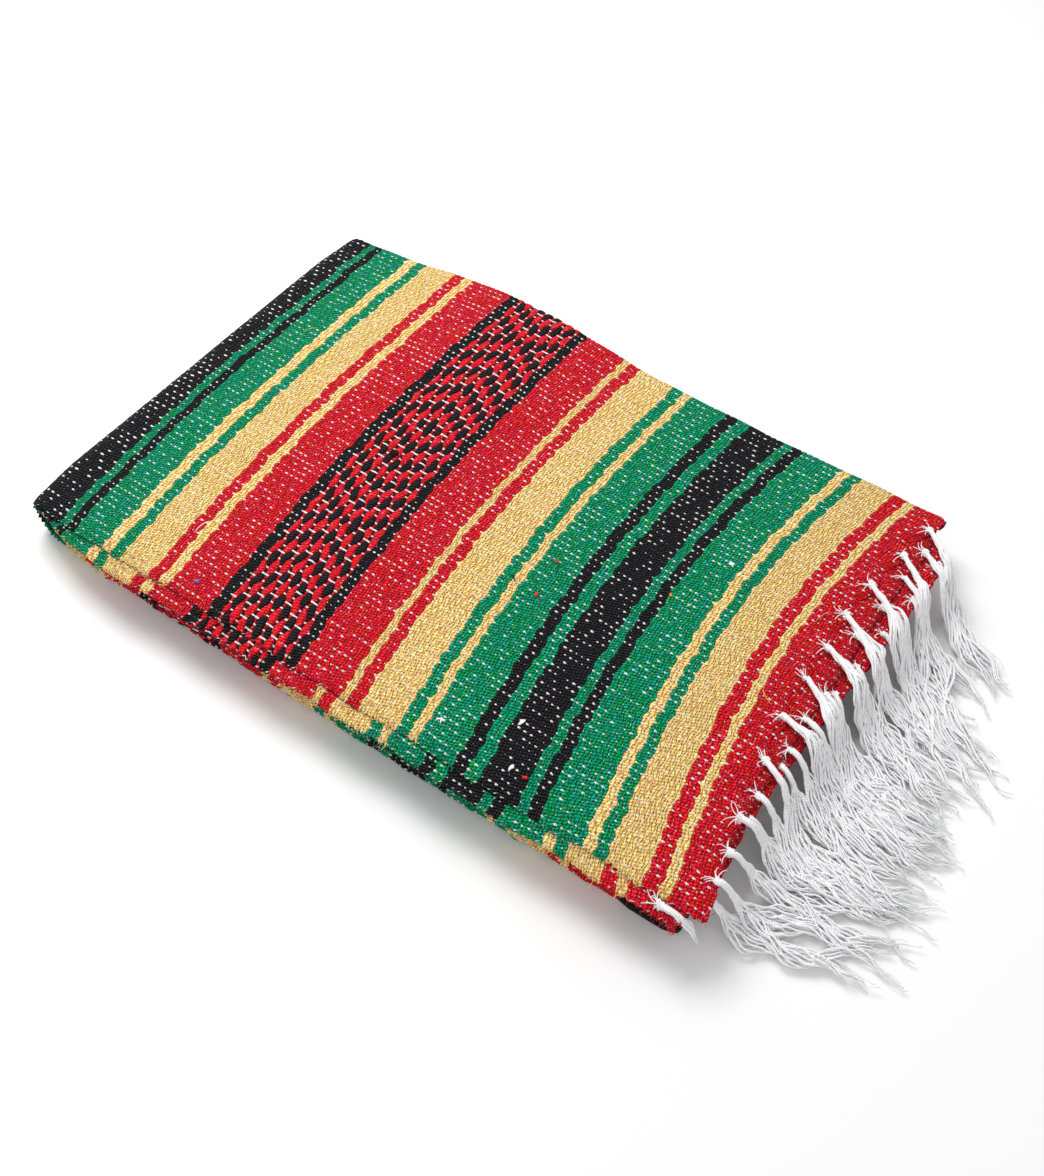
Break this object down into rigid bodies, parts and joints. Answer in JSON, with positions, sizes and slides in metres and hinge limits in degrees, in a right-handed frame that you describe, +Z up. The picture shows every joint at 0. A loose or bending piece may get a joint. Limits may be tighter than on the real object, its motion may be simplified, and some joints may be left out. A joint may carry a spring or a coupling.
{
  "type": "mexican blanket, folded",
  "caption": "Woven striped falsa blanket folded flat both ways, layered at the edges, with knotted fringe at one end.",
  "frame": {"origin": "centre of the flat underside, on the surface that the folded blanket lies on", "axes": "+X along the folded length from the left fold towards the fringe, +Y from the near side with the loose layer edges to the far side with the width folds, +Z up"},
  "size_m": [0.6056, 0.3517, 0.0405],
  "materials": {
    "cloth": "coarse weft-faced weave in green, yellow, red and black bands with white warp dots",
    "fringe": "undyed soft cotton yarn"
  },
  "bodies": {
    "root": {"top_layer": "cloth", "second_layer": "cloth", "folded_core": "cloth", "fringe_top": "fringe", "fringe_second": "fringe", "fringe_lower": "fringe"}
  },
  "joints": []
}
